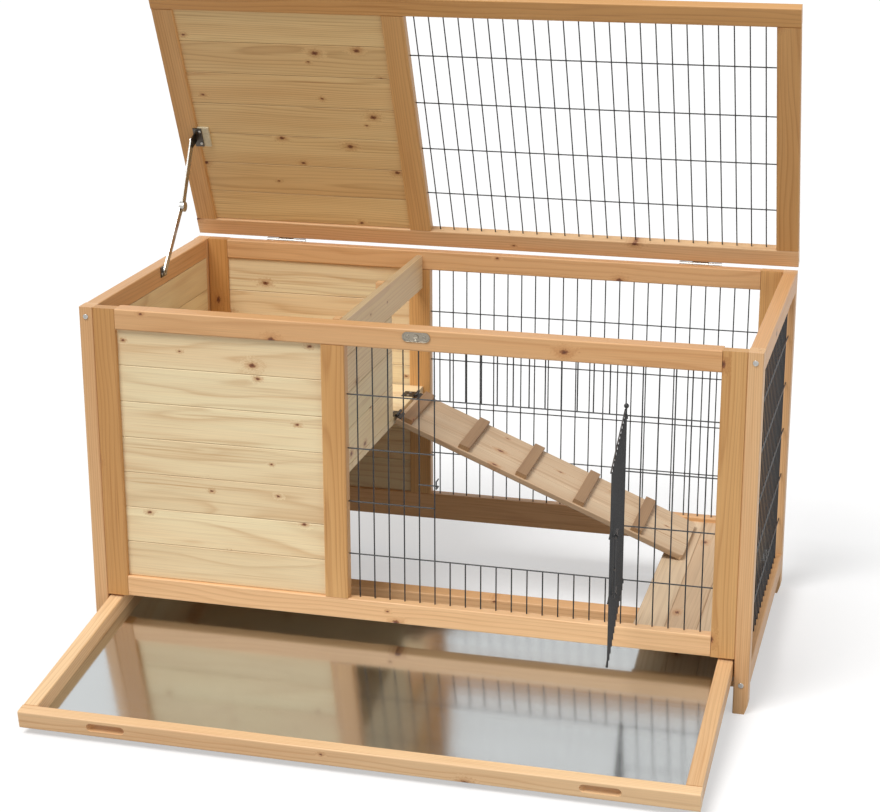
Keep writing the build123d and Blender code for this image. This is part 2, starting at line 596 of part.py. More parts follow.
save("lid_mesh", *[s for w in grille(lid_uprights, lid_rows, lambda u, v, s: (u, v, lid_mesh_z + s))
                   for s in on_lid(w)])

# Lid hinges on the back of the rear top rail and the back edge of the lid
lid_fixed, lid_moving, lid_pins = [], [], []
for x in (-HINGE_X, HINGE_X):
    half = HINGE_L / 2
    side = HINGE_L * KNUCKLE_SHARE
    leaf_y = (Y_OUT, Y_OUT + HINGE_LEAF_T)
    low_top, up_low = HEIGHT - HINGE_BARREL_R, LID_AXIS_Z + HINGE_BARREL_R
    low = [block(x - half, x + half, *leaf_y, HEIGHT - HINGE_LEAF_H, low_top)]
    for a, b in ((x - half, x - half + side), (x + half - side, x + half)):
        low.append(block(a, b, *leaf_y, low_top - LEAF_LAP, LID_AXIS_Z))
    up = [block(x - half, x + half, *leaf_y, up_low, lid_z1 - LEAF_LAP),
          block(x - half + side + HINGE_END_GAP, x + half - side - HINGE_END_GAP, *leaf_y,
                LID_AXIS_Z, up_low + LEAF_LAP)]
    a, b, pin = hinge_halves(lambda t, x=x: (x + t, LID_AXIS_Y, LID_AXIS_Z), HINGE_L, HINGE_BARREL_R,
                             HINGE_PIN_R, low, up)
    lid_fixed += a
    lid_moving += on_lid(*b)
    lid_pins.append(pin)
save("lid_hinge_frame_leaf", *lid_fixed, *lid_pins)
save("lid_hinge_lid_leaf", *lid_moving)

# Folding stay: foot on the left side rail, head under the lid, knee between the two bars
foot_z = HEIGHT - STAY_FOOT_DROP
head_closed = (-STAY_HEAD_REACH, -STAY_HEAD_DROP)
turn = radians(LID_OPEN)
HEAD_Y = LID_AXIS_Y + head_closed[0] * cos(turn) + head_closed[1] * sin(turn)
HEAD_Z = LID_AXIS_Z - head_closed[0] * sin(turn) + head_closed[1] * cos(turn)
span_y, span_z = HEAD_Y - STAY_FOOT_Y, HEAD_Z - foot_z
span = hypot(span_y, span_z)
along = (STAY_LOWER_L ** 2 - STAY_UPPER_L ** 2 + span ** 2) / (2 * span)
aside = sqrt(max(STAY_LOWER_L ** 2 - along ** 2, 0))
KNEE_Y = STAY_FOOT_Y + (span_y * along + span_z * aside) / span
KNEE_Z = foot_z + (span_z * along - span_y * aside) / span
plate_x = -X_LEG
low_x = plate_x + STAY_PLATE_T + STAY_GAP
high_x = low_x + STAY_BAR_T + STAY_GAP
head_x = high_x + STAY_BAR_T + STAY_GAP


def bar(x, start, end, start_w, end_r):
    # flat bar in the plane X = x, with round ends: start_w wide and bored at its start, end_r at its end
    dy, dz = end[0] - start[0], end[1] - start[1]
    length = hypot(dy, dz)
    sides = Polyline((0, -start_w / 2), (0, start_w / 2), (length, STAY_BAR_W / 2),
                     (length, -STAY_BAR_W / 2), close=True)
    flat = extrude(Plane.YZ * make_face(sides), STAY_BAR_T)
    solids = [*flat.solids(), rod((0, 0, 0), (STAY_BAR_T, 0, 0), start_w / 2),
              rod((0, length, 0), (STAY_BAR_T, length, 0), end_r)]
    result = joined(solids)[0]
    result = result - rod((-CUT_OVER, 0, 0), (STAY_BAR_T + CUT_OVER, 0, 0), STAY_PIN_R + STAY_PIN_GAP)
    turned = result.rotate(Axis.X, degrees(atan2(dz, dy)))
    return Pos(x, start[0], start[1]) * turned


foot, knee, head = (STAY_FOOT_Y, foot_z), (KNEE_Y, KNEE_Z), (HEAD_Y, HEAD_Z)
save("stay_bar_lower", bar(low_x, foot, knee, STAY_FOOT_W, KNEE_R))
upper_bar = bar(high_x, head, knee, STAY_BAR_W, KNEE_R)
knob_x = high_x + STAY_BAR_T
knee_knob = rod((knob_x, *knee), (knob_x + KNEE_T, *knee), KNEE_R)
rim = [e for e in knee_knob.edges() if abs(e.center().X - knob_x - KNEE_T) < WELD_SINK]
save("stay_bar_upper", *joined([*upper_bar.solids(), *fillet(rim, KNEE_DOME).solids()]))
foot_plate = block(plate_x, plate_x + STAY_PLATE_T, STAY_FOOT_Y - STAY_PLATE_L / 2,
                   STAY_FOOT_Y + STAY_PLATE_L / 2, foot_z - STAY_PLATE_H / 2, foot_z + STAY_PLATE_H / 2)
foot_pin = rod((plate_x + STAY_PLATE_T / 2, *foot), (low_x + STAY_BAR_T + STAY_GAP / 2, *foot), STAY_PIN_R)
save("stay_foot_bracket", *joined([*foot_plate.solids(), foot_pin]))
# head bracket, built closed under the lid stile: a plate and an ear that hangs down from it
head_y, head_z = LID_AXIS_Y - STAY_HEAD_REACH, LID_AXIS_Z - STAY_HEAD_DROP
ear = block(head_x, head_x + STAY_PLATE_T, head_y - STAY_PLATE_H / 2, head_y + STAY_PLATE_H / 2,
            head_z - STAY_BAR_W / 2, lid_z0)
head_plate = block(head_x - HEAD_PLATE_LAP, head_x + HEAD_PLATE_REACH, head_y - HEAD_PLATE_L / 2,
                   head_y + HEAD_PLATE_L / 2, lid_z0 - STAY_PLATE_T, lid_z0)
head_pin = rod((high_x - STAY_GAP / 2, head_y, head_z), (head_x + STAY_PLATE_T / 2, head_y, head_z),
               STAY_PIN_R)
save("stay_head_bracket", *[t for s in joined([*ear.solids(), *head_plate.solids(), head_pin])
                            for t in on_lid(s)])

# Tray: built pushed in and level, then tipped about the rollers and drawn out along its own length
tray_x = X_LEG - TRAY_SIDE_GAP
tray_y0, tray_y1 = -Y_OUT, -Y_OUT + TRAY_LENGTH
roller_axis = Axis((0, ROLLER_Y, ROLLER_Z), (1, 0, 0))


def on_tray(*shapes):
    return [(Pos(0, -TRAY_OUT, 0) * s).rotate(roller_axis, TRAY_TIP)
            for shape in shapes for s in shape.solids()]


front_rail = timber(-tray_x, tray_x, tray_y0, tray_y0 + TRAY_FRONT_T, TRAY_Z0, TRAY_Z1, Axis.X)
for x in (-SLOT_X, SLOT_X):
    slot = Plane.XZ * Pos(x, TRAY_Z0 + SLOT_UP) * SlotOverall(SLOT_LENGTH, SLOT_H)
    front_rail = front_rail - Pos(0, tray_y0 + TRAY_FRONT_T / 2, 0) * extrude(slot, TRAY_FRONT_T, both=True)
save("tray_rail_front", *on_tray(front_rail))
rail_x = tray_x - TRAY_RAIL_W
for side, name in ((-1, "left"), (1, "right")):
    xs = sorted((side * rail_x, side * tray_x))
    save(f"tray_rail_{name}", *on_tray(timber(*xs, tray_y0 + TRAY_FRONT_T, tray_y1,
                                              TRAY_Z0, TRAY_Z1, Axis.Y)))
save("tray_rail_rear", *on_tray(timber(-rail_x, rail_x, tray_y1 - TRAY_RAIL_W, tray_y1,
                                       TRAY_Z0, TRAY_Z1, Axis.X)))
save("tray_sheet", *on_tray(block(-rail_x, rail_x, tray_y0 + TRAY_FRONT_T, tray_y1 - TRAY_RAIL_W,
                                  TRAY_Z0 + SHEET_UP, TRAY_Z0 + SHEET_UP + SHEET_T)))

# Runners under the sides of the tray, with a roller in front of each that turns in the leg
runners, rollers = [], []
for side in (-1, 1):
    xs = sorted((side * X_LEG, side * (X_LEG - RUNNER_W)))
    runner_z = TRAY_Z0 - RUNNER_GAP
    runners.append(timber(*xs, -Y_LEG, Y_LEG, runner_z - RUNNER_H, runner_z, Axis.Y, BATTEN_R))
    inner, outer = X_LEG - ROLLER_SIDE_GAP - ROLLER_W, X_LEG - ROLLER_SIDE_GAP
    wheel = rod((side * inner, ROLLER_Y, ROLLER_Z), (side * outer, ROLLER_Y, ROLLER_Z), ROLLER_R)
    axle = rod((side * (inner + AXLE_INSET), ROLLER_Y, ROLLER_Z),
               (side * (X_LEG + AXLE_DEPTH), ROLLER_Y, ROLLER_Z), AXLE_R)
    rollers += joined([wheel, axle])
save("tray_runners", *runners)
save("tray_rollers", *rollers)

# Screws in the legs, and the small oval plate on the front top rail
screws = []
for x in (-X_LEG - LEG_W / 2, X_LEG + LEG_W / 2):
    for z in (HEIGHT - SCREW_TOP_DROP, SCREW_BOTTOM_Z):
        for side in (-1, 1):
            head_disc = rod((x, side * Y_OUT, z), (x, side * (Y_OUT + SCREW_T), z), SCREW_R)
            rim = [e for e in head_disc.edges() if abs(abs(e.center().Y) - Y_OUT - SCREW_T) < 0.01]
            screws.append(chamfer(rim, 0.5))
save("frame_screws", *screws)
plate_z = HEIGHT - PLATE_DROP
oval = Plane.XZ * Pos(PLATE_X, plate_z) * SlotOverall(PLATE_L, PLATE_H)
plate = [*(Pos(0, -Y_OUT, 0) * extrude(oval, PLATE_T)).solids()]


def plate_knob(x, radius, height):
    face = -Y_OUT - PLATE_T
    return rod((x, face - height, plate_z), (x, face + WELD_SINK, plate_z), radius)


for x in (PLATE_X - PLATE_SCREW_X, PLATE_X + PLATE_SCREW_X):
    plate.append(plate_knob(x, PLATE_SCREW_R, PLATE_SCREW_UP))
plate.append(plate_knob(PLATE_X, PLATE_STUD_R, PLATE_STUD_UP))
save("latch_plate", *joined(plate))
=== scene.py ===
# %% [markdown]
# A small animal cage: a fir frame with pale boards, black welded wire, a lid on a folding stay,
# an inside ramp and a pull-out metal tray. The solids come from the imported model, and this
# lesson gives them their finishes and adds the small metalwork.

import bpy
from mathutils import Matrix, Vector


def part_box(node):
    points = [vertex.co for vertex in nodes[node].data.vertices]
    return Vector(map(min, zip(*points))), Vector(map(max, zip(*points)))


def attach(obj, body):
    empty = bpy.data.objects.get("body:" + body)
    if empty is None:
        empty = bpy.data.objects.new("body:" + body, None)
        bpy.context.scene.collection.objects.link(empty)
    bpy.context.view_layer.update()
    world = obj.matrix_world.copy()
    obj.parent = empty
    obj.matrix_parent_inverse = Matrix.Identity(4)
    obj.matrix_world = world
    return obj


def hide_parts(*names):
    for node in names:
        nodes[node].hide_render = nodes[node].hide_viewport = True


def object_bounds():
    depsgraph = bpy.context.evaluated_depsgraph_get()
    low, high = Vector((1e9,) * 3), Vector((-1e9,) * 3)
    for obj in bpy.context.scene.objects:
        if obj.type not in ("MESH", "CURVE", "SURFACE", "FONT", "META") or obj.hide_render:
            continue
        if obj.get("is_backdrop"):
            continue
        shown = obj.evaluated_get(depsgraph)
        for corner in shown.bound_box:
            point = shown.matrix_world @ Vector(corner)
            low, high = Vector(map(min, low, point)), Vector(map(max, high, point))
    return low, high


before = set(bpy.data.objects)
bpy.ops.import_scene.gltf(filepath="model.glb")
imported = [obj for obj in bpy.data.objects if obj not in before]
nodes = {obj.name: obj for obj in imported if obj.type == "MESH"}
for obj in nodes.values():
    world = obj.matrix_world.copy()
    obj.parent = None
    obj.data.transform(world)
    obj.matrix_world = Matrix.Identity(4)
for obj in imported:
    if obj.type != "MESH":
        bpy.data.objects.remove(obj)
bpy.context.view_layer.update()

# %% [markdown]
# The camera stands in front of the cage and a little to its right, above the lid's hinge,
# with a long lens, so the far legs look nearly as tall as the near ones. Its place was worked
# out from the corners of the frame, so it is written as a point and three angles.

# %% Camera
from math import cos, pi, radians, sin

import bpy
from mathutils import Matrix, Vector

IMAGE_W, FOCAL_PX = 880.0, 2026.305
YAW, PITCH, ROLL = radians(14.897), radians(17.598), radians(-0.140)
EYE = Vector((0.8421, -3.2329, 1.4479))

forward = Vector((-sin(YAW) * cos(PITCH), cos(YAW) * cos(PITCH), -sin(PITCH)))
level = Vector((cos(YAW), sin(YAW), 0))
above = level.cross(forward)
right = level * cos(ROLL) + above * sin(ROLL)
up = above * cos(ROLL) - level * sin(ROLL)
lens = bpy.data.cameras.new("camera")
lens.sensor_width = 36.0
lens.lens = lens.sensor_width * FOCAL_PX / IMAGE_W
lens.shift_x, lens.shift_y = -0.0002, 0.0009
lens.clip_start, lens.clip_end = 0.05, 60.0
camera = bpy.data.objects.new("camera", lens)
bpy.context.scene.collection.objects.link(camera)
camera.matrix_world = Matrix.Translation(EYE) @ Matrix((right, up, -forward)).transposed().to_4x4()
bpy.context.scene.camera = camera
print("lens", round(lens.lens, 2), "mm")

# %% [markdown]
# Every finish is a small tree of nodes. One function adds a node, sets it and links it, and one
# turns a colour as a painter writes it, in sRGB, into the linear numbers that Blender mixes.

# %% Helpers for finishes


def shade(hex_colour):
    """An sRGB hex colour as linear red, green, blue and alpha."""
    parts = [int(hex_colour[i:i + 2], 16) / 255 for i in (1, 3, 5)]
    return [c / 12.92 if c <= 0.04045 else ((c + 0.055) / 1.055) ** 2.4 for c in parts] + [1.0]


def add(tree, kind, feeds=None, **settings):
    """Adds one node. settings are its own, feeds gives its inputs: a value, or a socket to link."""
    made = tree.nodes.new("ShaderNode" + kind)
    for name, value in settings.items():
        setattr(made, name, value)
    for name, value in (feeds or {}).items():
        if isinstance(value, bpy.types.NodeSocket):
            tree.links.new(value, made.inputs[name])
        else:
            made.inputs[name].default_value = value
    return made


def new_finish(name):
    """An empty material with its surface shader, ready for its pattern."""
    finish = bpy.data.materials.new(name)
    finish.use_nodes = True
    tree = finish.node_tree
    tree.nodes.clear()
    surface = add(tree, "BsdfPrincipled")
    add(tree, "OutputMaterial", {"Surface": surface.outputs["BSDF"]})
    return finish, tree, surface


def wear(piece, finish):
    """Gives a piece one finish all over."""
    piece.data.materials.clear()
    piece.data.materials.append(finish)


# %% [markdown]
# Fir is sawn from a log, so each board cuts through its growth rings. A ring is a tube round the
# log's middle: cut far from the middle it shows as close straight lines, and near the middle as
# wide arches. So the pattern here is worked out as the distance from a made-up middle, bent a
# little along the length. Each board takes its own middle from its number, which keeps
# neighbours from matching. Knots are where branches were: dark ovals that push the rings aside.

# %% Fir, as sawn and as stained
RING_MM = 3.4
FIBRE_MM = 0.9
# width of the painted shade at each board's edge, in millimetres
GROOVE_SHADE_MM = 0.9
# how far slow bends and knots push the rings aside, in metres
BOARD_WARP = 0.009
KNOT_PUSH = 0.0030
# how often each pattern changes, per metre along and across the grain
BENDS, HEARTS = (2.2, 14.0, 14.0), (1.1, 22.0, 22.0)
PATCHES, STREAKS = (3.0, 30.0, 30.0), (5.0, 330.0, 330.0)
KNOT_CELLS, KNOT_RAGS = (8.5, 14.0, 0.0), (260.0, 420.0, 0.0)
# how long the log is, and how far its middle may be from a board's, in metres
LOG_LENGTH, MIDDLE_ASIDE, MIDDLE_BELOW = 9.0, 0.045, (0.012, 0.070)
KNOT_HALO, KNOT_RIM, KNOT_CORE = "#B57A45", "#7C4524", "#4E2A17"
# the colour of the painted shade in the grooves between boards
GROOVE_SHADE_COLOUR = "#6E4A28"
# how strong the ring lines and the redder heartwood are, and how far boards differ in tone
LINE_SHARE, HEART_SHARE, BOARD_SPREAD = 0.62, 0.5, 0.06


def along(grain, across, turn=None):
    """The three axes of a piece: along its grain, across its face, and out of its face."""
    ex, ey = Vector(grain), Vector(across)
    basis = Matrix((ex, ey, ex.cross(ey))).transposed()
    return (turn @ basis) if turn else basis


def fir(name, axes, place, light, dark, red, gloss, seed, knot_share, rows=None):
    """Fir with its grain on the given axes. rows is where boards start and how wide one is, in metres."""
    finish, tree, surface = new_finish(name)
    where = add(tree, "TexCoord")
    local = add(tree, "Mapping", {"Vector": where.outputs["Object"], "Location": place,
                                  "Rotation": axes.to_euler("XYZ")}, vector_type="TEXTURE")
    parts = add(tree, "SeparateXYZ", {0: local.outputs[0]})
    if rows:
        start = add(tree, "Math", {0: parts.outputs[1], 1: rows[0]}, operation="SUBTRACT")
        count = add(tree, "Math", {0: start.outputs[0], 1: rows[1]}, operation="DIVIDE")
        number = add(tree, "Math", {0: count.outputs[0]}, operation="FLOOR")
        middle = add(tree, "Math", {0: number.outputs[0], 1: 0.5}, operation="ADD")
        centre = add(tree, "Math", {0: middle.outputs[0], 1: rows[1], 2: rows[0]},
                     operation="MULTIPLY_ADD")
        offset = add(tree, "Math", {0: parts.outputs[1], 1: centre.outputs[0]}, operation="SUBTRACT")
        own = add(tree, "Math", {0: number.outputs[0], 1: 7.31, 2: seed}, operation="MULTIPLY_ADD")
        key, side = own.outputs[0], offset.outputs[0]
    else:
        key, side = seed, parts.outputs[1]
    chance = add(tree, "TexWhiteNoise", {"W": key}, noise_dimensions="1D")
    luck = add(tree, "SeparateColor", {0: chance.outputs["Color"]})
    # each board is cut from its own place along the log
    run = add(tree, "Math", {0: luck.outputs[0], 1: LOG_LENGTH, 2: parts.outputs[0]},
              operation="MULTIPLY_ADD")
    # slow bends of the log, a few per metre
    bend_at = add(tree, "CombineXYZ", {0: run.outputs[0], 1: side, 2: parts.outputs[2]})
    bend_in = add(tree, "VectorMath", {0: bend_at.outputs[0], 1: BENDS}, operation="MULTIPLY")
    bend = add(tree, "TexNoise", {"Vector": bend_in.outputs[0], "Scale": 1.0, "Detail": 2.0,
                                  "Roughness": 0.45})
    # knots: one possible place per cell, kept by chance
    knot_at = add(tree, "CombineXYZ", {0: run.outputs[0], 1: side})
    knot_in = add(tree, "VectorMath", {0: knot_at.outputs[0], 1: KNOT_CELLS}, operation="MULTIPLY")
    cells = add(tree, "TexVoronoi", {"Vector": knot_in.outputs[0], "Scale": 1.0},
                voronoi_dimensions="2D")
    cell_luck = add(tree, "SeparateColor", {0: cells.outputs["Color"]})
    kept = add(tree, "Math", {0: cell_luck.outputs[0], 1: 1.0 - knot_share}, operation="GREATER_THAN")
    size = add(tree, "MapRange", {0: cell_luck.outputs[1], 3: 0.016, 4: 0.050})
    size_kept = add(tree, "Math", {0: size.outputs[0], 1: kept.outputs[0]}, operation="MULTIPLY")
    reach = add(tree, "Math", {0: size_kept.outputs[0], 1: 0.0004}, operation="ADD")
    smooth = add(tree, "Math", {0: cells.outputs["Distance"], 1: reach.outputs[0]}, operation="DIVIDE")
    # knots have ragged edges
    ragged_in = add(tree, "VectorMath", {0: knot_at.outputs[0], 1: KNOT_RAGS}, operation="MULTIPLY")
    ragged = add(tree, "TexNoise", {"Vector": ragged_in.outputs[0], "Scale": 1.0, "Detail": 2.0})
    ragged_by = add(tree, "MapRange", {0: ragged.outputs[0], 1: 0.3, 2: 0.7, 3: 0.7, 4: 1.45})
    knot = add(tree, "Math", {0: smooth.outputs[0], 1: ragged_by.outputs[0]}, operation="MULTIPLY")
    near = knot.outputs[0]
    push = add(tree, "MapRange", {0: near, 1: 0.6, 2: 5.5, 3: 1.0, 4: 0.0},
               interpolation_type="SMOOTHSTEP")
    # distance from the middle of the log, in rings
    off_y = add(tree, "MapRange", {0: luck.outputs[1], 3: -MIDDLE_ASIDE, 4: MIDDLE_ASIDE})
    off_z = add(tree, "MapRange", {0: luck.outputs[2], 3: MIDDLE_BELOW[0], 4: MIDDLE_BELOW[1]})
    to_y = add(tree, "Math", {0: side, 1: off_y.outputs[0]}, operation="ADD")
    to_z = add(tree, "Math", {0: parts.outputs[2], 1: off_z.outputs[0]}, operation="ADD")
    spoke = add(tree, "CombineXYZ", {0: to_y.outputs[0], 1: to_z.outputs[0]})
    radius = add(tree, "VectorMath", {0: spoke.outputs[0]}, operation="LENGTH")
    bent = add(tree, "Math", {0: bend.outputs[0], 1: 2 * BOARD_WARP, 2: radius.outputs["Value"]},
               operation="MULTIPLY_ADD")
    pushed = add(tree, "Math", {0: push.outputs[0], 1: KNOT_PUSH, 2: bent.outputs[0]},
                 operation="MULTIPLY_ADD")
    rings = add(tree, "Math", {0: pushed.outputs[0], 1: RING_MM / 1000}, operation="DIVIDE")
    ring = add(tree, "Math", {0: rings.outputs[0]}, operation="FRACT")
    late = add(tree, "ValToRGB", {0: ring.outputs[0]})
    ramp = late.color_ramp
    ramp.elements[0].position, ramp.elements[0].color = 0.0, (0.12, 0.12, 0.12, 1)
    ramp.elements[1].position, ramp.elements[1].color = 1.0, (0.10, 0.10, 0.10, 1)
    for position, value in ((0.15, 0.0), (0.60, 0.14), (0.88, 1.0), (0.95, 0.45)):
        ramp.elements.new(position).color = (value, value, value, 1)
    # fibres, drawn coarser than real so that they show
    fibre_in = add(tree, "VectorMath", {0: bend_at.outputs[0], 1: (9.0, 1000 / FIBRE_MM, 1000 / FIBRE_MM)},
                   operation="MULTIPLY")
    fibre = add(tree, "TexNoise", {"Vector": fibre_in.outputs[0], "Scale": 1.0, "Detail": 1.0})
    # heartwood: broad redder streaks
    heart_in = add(tree, "VectorMath", {0: bend_at.outputs[0], 1: HEARTS}, operation="MULTIPLY")
    heart = add(tree, "TexNoise", {"Vector": heart_in.outputs[0], "Scale": 1.0, "Detail": 3.0})
    heart_share = add(tree, "MapRange", {0: heart.outputs[0], 1: 0.42, 2: 0.72, 3: 0.0, 4: HEART_SHARE})
    # the dark lines fade in and out from place to place, so that no board is evenly striped
    fade = add(tree, "MapRange", {0: heart.outputs[0], 1: 0.30, 2: 0.66, 3: 0.25 * LINE_SHARE,
                                  4: LINE_SHARE})
    line_share = add(tree, "Math", {0: late.outputs[0], 1: fade.outputs[0]}, operation="MULTIPLY")
    lean = add(tree, "MapRange", {0: luck.outputs[2], 1: 0.35, 2: 1.0, 3: 0.0, 4: 0.55})
    ground = add(tree, "Mix", {"Factor": lean.outputs[0], 6: shade(light), 7: shade(red)},
                 data_type="RGBA")
    wood = add(tree, "Mix", {"Factor": line_share.outputs[0], 6: ground.outputs[2], 7: shade(dark)},
               data_type="RGBA")
    # streaks: thin brown marks a hand's breadth long, gathered in places
    streak_in = add(tree, "VectorMath", {0: bend_at.outputs[0], 1: STREAKS}, operation="MULTIPLY")
    streak = add(tree, "TexNoise", {"Vector": streak_in.outputs[0], "Scale": 1.0, "Detail": 2.0})
    patch_in = add(tree, "VectorMath", {0: bend_at.outputs[0], 1: PATCHES}, operation="MULTIPLY")
    patch = add(tree, "TexNoise", {"Vector": patch_in.outputs[0], "Scale": 1.0, "Detail": 2.0})
    gathered = add(tree, "MapRange", {0: patch.outputs[0], 1: 0.42, 2: 0.70, 3: 0.02, 4: 0.75})
    thin = add(tree, "MapRange", {0: streak.outputs[0], 1: 0.52, 2: 0.72, 3: 0.0, 4: 1.0})
    streak_share = add(tree, "Math", {0: gathered.outputs[0], 1: thin.outputs[0]}, operation="MULTIPLY")
    marked = add(tree, "Mix", {"Factor": streak_share.outputs[0], 6: wood.outputs[2], 7: shade(dark)},
                 data_type="RGBA")
    warm = add(tree, "Mix", {"Factor": heart_share.outputs[0], 6: marked.outputs[2], 7: shade(red)},
               data_type="RGBA")
    # a knot is a soft halo, a dark rim and a darker core
    halo = add(tree, "MapRange", {0: near, 1: 1.0, 2: 4.5, 3: 0.5, 4: 0.0},
               interpolation_type="SMOOTHSTEP")
    rim = add(tree, "MapRange", {0: near, 1: 0.7, 2: 1.6, 3: 0.95, 4: 0.0},
              interpolation_type="SMOOTHSTEP")
    core = add(tree, "MapRange", {0: near, 1: 0.2, 2: 0.8, 3: 0.8, 4: 0.0})
    glowed = add(tree, "Mix", {"Factor": halo.outputs[0], 6: warm.outputs[2], 7: shade(KNOT_HALO)},
                 data_type="RGBA")
    ringed = add(tree, "Mix", {"Factor": rim.outputs[0], 6: glowed.outputs[2], 7: shade(KNOT_RIM)},
                 data_type="RGBA")
    knotty = add(tree, "Mix", {"Factor": core.outputs[0], 6: ringed.outputs[2], 7: shade(KNOT_CORE)},
                 data_type="RGBA")
    if rows:
        # painted shade: a thin dark line where two boards meet, standing in for the shade in the groove
        # between them
        to_edge = add(tree, "Math", {0: side}, operation="ABSOLUTE")
        groove_shade = add(tree, "MapRange", {0: to_edge.outputs[0], 1: rows[1] / 2 - GROOVE_SHADE_MM / 1000,
                                      2: rows[1] / 2, 3: 0.0, 4: 0.42})
        knotty = add(tree, "Mix", {"Factor": groove_shade.outputs[0], 6: knotty.outputs[2],
                                   7: shade(GROOVE_SHADE_COLOUR)}, data_type="RGBA")
    board_tone = add(tree, "MapRange", {0: luck.outputs[0], 3: 1.0 - BOARD_SPREAD,
                                        4: 1.0 + BOARD_SPREAD})
    fibre_tone = add(tree, "MapRange", {0: fibre.outputs[0], 1: 0.25, 2: 0.75, 3: 0.93, 4: 1.06})
    both = add(tree, "Math", {0: board_tone.outputs[0], 1: fibre_tone.outputs[0]}, operation="MULTIPLY")
    toned = add(tree, "HueSaturation", {"Color": knotty.outputs[2], "Value": both.outputs[0]})
    tree.links.new(toned.outputs[0], surface.inputs["Base Color"])
    rough = add(tree, "MapRange", {0: late.outputs[0], 3: gloss + 0.08, 4: gloss - 0.05})
    tree.links.new(rough.outputs[0], surface.inputs["Roughness"])
    relief = add(tree, "Math", {0: late.outputs[0], 1: 0.6, 2: fibre.outputs[0]}, operation="MULTIPLY_ADD")
    bump = add(tree, "Bump", {"Strength": 0.25, "Distance": 0.0003, "Height": relief.outputs[0]})
    tree.links.new(bump.outputs[0], surface.inputs["Normal"])
    return finish


STAIN = {"light": "#DFB585", "dark": "#B0763F", "red": "#CE9760", "gloss": 0.42}
BROWN = {"light": "#D9A86C", "dark": "#A2682F", "red": "#BF8748", "gloss": 0.42}
LIGHTER = {"light": "#F2CD9E", "dark": "#BC8650", "red": "#DDA873", "gloss": 0.42}
PALE = {"light": "#EDDAB0", "dark": "#B98A55", "red": "#E2BE90", "gloss": 0.5}
# the lid's boards: darker and more golden, partly their own stain and partly painted shade for the lid's
# underside, which faces down
GOLDEN_AND_SHADED = {"light": "#E6C68E", "dark": "#A06A35", "red": "#CF9F66", "gloss": 0.5}
GREYED = {"light": "#DCC3A2", "dark": "#A37C55", "red": "#C7A27C", "gloss": 0.55}
CLEATS = {"light": "#A07D58", "dark": "#77522E", "red": "#8A633E", "gloss": 0.5}
BOARD_COLOURS = {"lid_boards": GOLDEN_AND_SHADED, "ramp_boards": GREYED, "platform_boards": GREYED}

# %% [markdown]
# The posts and rails are stained fir, each sawn from its own stick with its grain along its
# length. Three directions cover the standing frame. The lid, the tray and the ramp were turned
# when they were built, so their axes are turned by the same angle about the same line.

# %% Which way each piece runs
ALONG_X = along((1, 0, 0), (0, 0, 1))
ALONG_Y = along((0, 1, 0), (0, 0, 1))
ALONG_Z = along((0, 0, 1), (1, 0, 0))
LID_TURN = Matrix.Rotation(radians(-66.6), 3, "X")
TRAY_TURN = Matrix.Rotation(radians(7.7), 3, "X")
RAMP_TURN = Matrix.Rotation(radians(22.07), 3, "Y")
LID_HINGE = Vector((0, 0.2763, 0.5995))
RAMP_HINGE = Vector((-0.115, 0, 0.3446))

FRAME_STICKS = {
    "X": ["front_rail_top", "front_rail_bottom", "rear_rail_top", "rear_rail_bottom", "platform_ledgers",
          "upper_floor_battens"],
    "Y": ["side_rail_top_left", "side_rail_bottom_left", "side_rail_top_right", "side_rail_bottom_right",
          "tray_runners"],
    "Z": ["leg_front_left", "leg_front_right", "leg_rear_left", "leg_rear_right", "front_stile_left",
          "front_stile_mid", "front_stile_right", "rear_stile_left", "rear_stile_mid", "rear_stile_right",
          "divider_battens"],
    "lid X": ["lid_rail_front", "lid_rail_rear"],
    "lid Y": ["lid_stile_left", "lid_stile_mid", "lid_stile_right"],
    "tray X": ["tray_rail_front", "tray_rail_rear"],
    "tray Y": ["tray_rail_left", "tray_rail_right"],
}
STICK_AXES = {
    "X": ALONG_X, "Y": ALONG_Y, "Z": ALONG_Z,
    "lid X": along((1, 0, 0), (0, 1, 0), LID_TURN), "lid Y": along((0, 1, 0), (1, 0, 0), LID_TURN),
    "tray X": along((1, 0, 0), (0, 0, 1), TRAY_TURN), "tray Y": along((0, 1, 0), (0, 0, 1), TRAY_TURN),
}
# the stiles and the lid's front rail took more of the stain, and four rails took less
STICK_COLOURS = {name: BROWN for name in nodes if "stile" in name}
STICK_COLOURS["lid_rail_front"] = BROWN
for name in ("tray_rail_front", "tray_rail_left", "front_rail_bottom", "lid_rail_rear"):
    STICK_COLOURS[name] = LIGHTER
# the share of possible knots that are kept
STICK_KNOTS, BOARD_KNOTS, CLEAT_KNOTS = 0.22, 0.42, 0.15
# every stick and every row of boards takes its own seed
NEXT_STICK, NEXT_ROW = 11.7, 23.1
seed = 3.0
for direction, names in FRAME_STICKS.items():
    for name in names:
        low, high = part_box(name)
        wear(nodes[name], fir("stained_fir_" + name, STICK_AXES[direction], (low + high) / 2,
                              seed=seed, knot_share=STICK_KNOTS, **STICK_COLOURS.get(name, STAIN)))
        seed += NEXT_STICK
print("sticks", sum(len(n) for n in FRAME_STICKS.values()))

# %% [markdown]
# The panels and floors are tongue-and-groove fir boards, planed and left pale. Each node holds a
# whole row of boards, so the finish is told where the first board starts and how wide one is.

